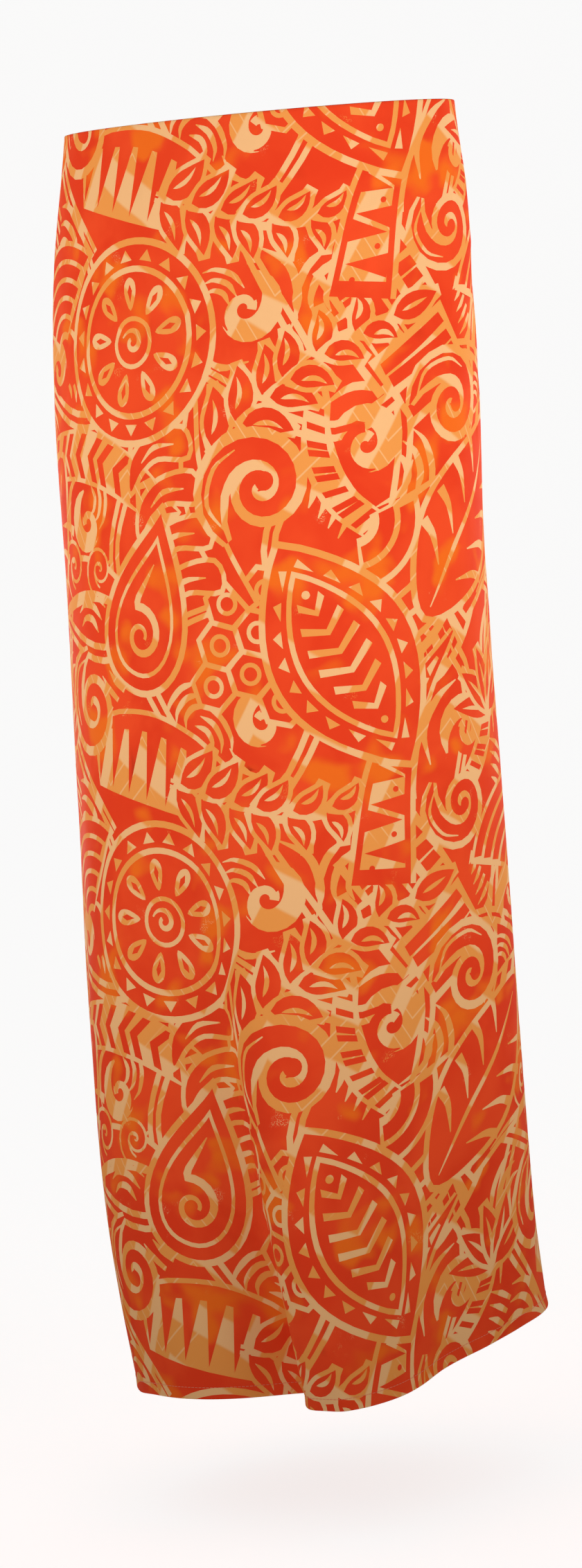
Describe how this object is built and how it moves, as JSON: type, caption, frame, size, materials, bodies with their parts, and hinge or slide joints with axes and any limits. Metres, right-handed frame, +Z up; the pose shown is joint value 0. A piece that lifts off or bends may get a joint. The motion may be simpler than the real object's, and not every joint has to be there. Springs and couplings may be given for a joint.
{
  "type": "lavalava",
  "caption": "Lavalava: a rectangle of printed cloth wound round the body and tucked at the back of the waist, hollow as worn, open at waist and hem.",
  "frame": {"origin": "middle of the waist, 20 mm below the upper edge, where the wearer holds the cloth", "axes": "+Z up along the wearer, -Y the wearer's front, +X the wearer's left"},
  "size_m": [0.3587, 0.2832, 0.9329],
  "materials": {
    "cloth_face": "smooth matt printed plain weave, red over amber and straw",
    "cloth_under": "the same cloth, its paler reverse towards the wearer",
    "cloth_hem": "the same cloth, turned up and stitched once",
    "cloth_tuck": "the same cloth, folded over the waist edge"
  },
  "bodies": {
    "root": {"outer_wrap": "cloth_face", "outer_hem": "cloth_hem", "under_lap": "cloth_under", "under_hem": "cloth_hem", "tucked_corner": "cloth_tuck"}
  },
  "joints": []
}
